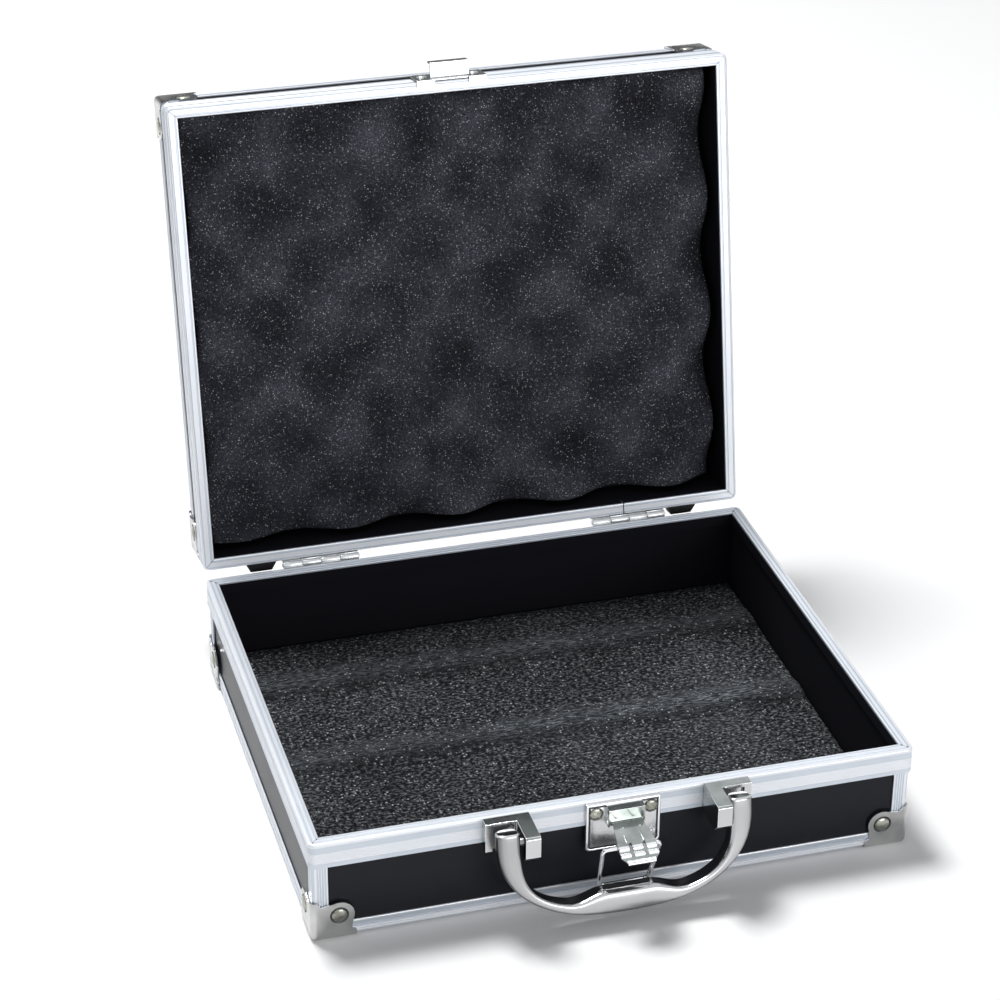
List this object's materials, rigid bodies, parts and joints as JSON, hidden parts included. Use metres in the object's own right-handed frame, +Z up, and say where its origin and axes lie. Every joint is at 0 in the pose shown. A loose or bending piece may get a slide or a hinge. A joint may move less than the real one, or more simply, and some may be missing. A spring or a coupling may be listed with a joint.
{
  "type": "hard chef knife case",
  "caption": "Hard carrying case for kitchen knives, open: metal-edged black tray and lid with foam inside, corner caps, drop handle between brackets, draw latch and back hinges.",
  "frame": {"origin": "under the middle of the open case's bounding box, on the surface that it stands on", "axes": "+X to the right seen from the handle, +Y from the handle and latch towards the hinges, +Z up"},
  "size_m": [0.2816, 0.3436, 0.2901],
  "materials": {
    "aluminium_trim": "satin anodised, fine ribs",
    "black_laminate": "satin black laminate",
    "cap_nickel": "nickel plated",
    "hinge_steel": "zinc plated",
    "foot_rubber": "matte black",
    "bracket_chrome": "polished",
    "handle_satin": "satin face, polished edges",
    "latch_nickel": "nickel plated",
    "lever_chrome": "polished",
    "bail_chrome": "bright wire",
    "pad_foam": "dark grey foam with light flecks",
    "crate_foam": "charcoal egg-crate foam"
  },
  "bodies": {
    "case": {"base_rim_frame": "aluminium_trim", "base_corner_post_front_left": "aluminium_trim", "base_corner_post_front_right": "aluminium_trim", "base_corner_post_back_left": "aluminium_trim", "base_corner_post_back_right": "aluminium_trim", "base_bottom_edge_front": "aluminium_trim", "base_bottom_edge_back": "aluminium_trim", "base_bottom_edge_left": "aluminium_trim", "base_bottom_edge_right": "aluminium_trim", "base_bottom_panel": "black_laminate", "base_front_panel": "black_laminate", "base_back_panel": "black_laminate", "base_left_panel": "black_laminate", "base_right_panel": "black_laminate", "base_corner_cap_front_left": "cap_nickel", "base_corner_cap_front_right": "cap_nickel", "base_corner_cap_back_left": "cap_nickel", "base_corner_cap_back_right": "cap_nickel", "base_back_foot_left": "foot_rubber", "base_back_foot_right": "foot_rubber", "base_foam_pad": "pad_foam", "hinge_left_base_leaf": "hinge_steel", "hinge_right_base_leaf": "hinge_steel", "hinge_left_pin": "hinge_steel", "hinge_right_pin": "hinge_steel", "handle_bracket_left": "bracket_chrome", "handle_bracket_right": "bracket_chrome", "handle_pin_left": "bracket_chrome", "handle_pin_right": "bracket_chrome", "latch_base_plate": "latch_nickel", "latch_rivet_left": "latch_nickel", "latch_rivet_right": "latch_nickel", "latch_lever_pin": "latch_nickel"},
    "lid": {"lid_rim_frame": "aluminium_trim", "lid_corner_post_front_left": "aluminium_trim", "lid_corner_post_front_right": "aluminium_trim", "lid_corner_post_back_left": "aluminium_trim", "lid_corner_post_back_right": "aluminium_trim", "lid_top_edge_front": "aluminium_trim", "lid_top_edge_back": "aluminium_trim", "lid_top_edge_left": "aluminium_trim", "lid_top_edge_right": "aluminium_trim", "lid_top_panel": "black_laminate", "lid_front_panel": "black_laminate", "lid_back_panel": "black_laminate", "lid_left_panel": "black_laminate", "lid_right_panel": "black_laminate", "lid_corner_cap_front_left": "cap_nickel", "lid_corner_cap_front_right": "cap_nickel", "lid_corner_cap_back_left": "cap_nickel", "lid_corner_cap_back_right": "cap_nickel", "lid_back_foot_left": "foot_rubber", "lid_back_foot_right": "foot_rubber", "lid_foam_crate": "crate_foam", "hinge_left_lid_leaf": "hinge_steel", "hinge_right_lid_leaf": "hinge_steel", "latch_keeper": "latch_nickel"},
    "handle": {"handle": "handle_satin"},
    "lever": {"latch_lever": "lever_chrome"},
    "bail": {"latch_bail": "bail_chrome"}
  },
  "joints": [
    {"name": "lid_hinge", "type": "hinge", "parent": "case", "child": "lid", "pos_m": [0, 0.09197, 0.0523], "axis": [1, 0, 0], "range_deg": [0, 101]},
    {"name": "handle_hinge", "type": "hinge", "parent": "case", "child": "handle", "pos_m": [0, -0.15443, 0.0456], "axis": [-1, 0, 0], "range_deg": [0, 100]},
    {"name": "lever_hinge", "type": "hinge", "parent": "case", "child": "lever", "pos_m": [0, -0.14713, 0.0426], "axis": [1, 0, 0], "range_deg": [0, 76]},
    {"name": "bail_hinge", "type": "hinge", "parent": "lever", "child": "bail", "pos_m": [0, -0.16242, 0.0395], "axis": [1, 0, 0], "range_deg": [-87, 0]}
  ],
  "couplings": [
    {"joint": "bail_hinge", "follows": "lever_hinge", "ratio": -1.14}
  ]
}
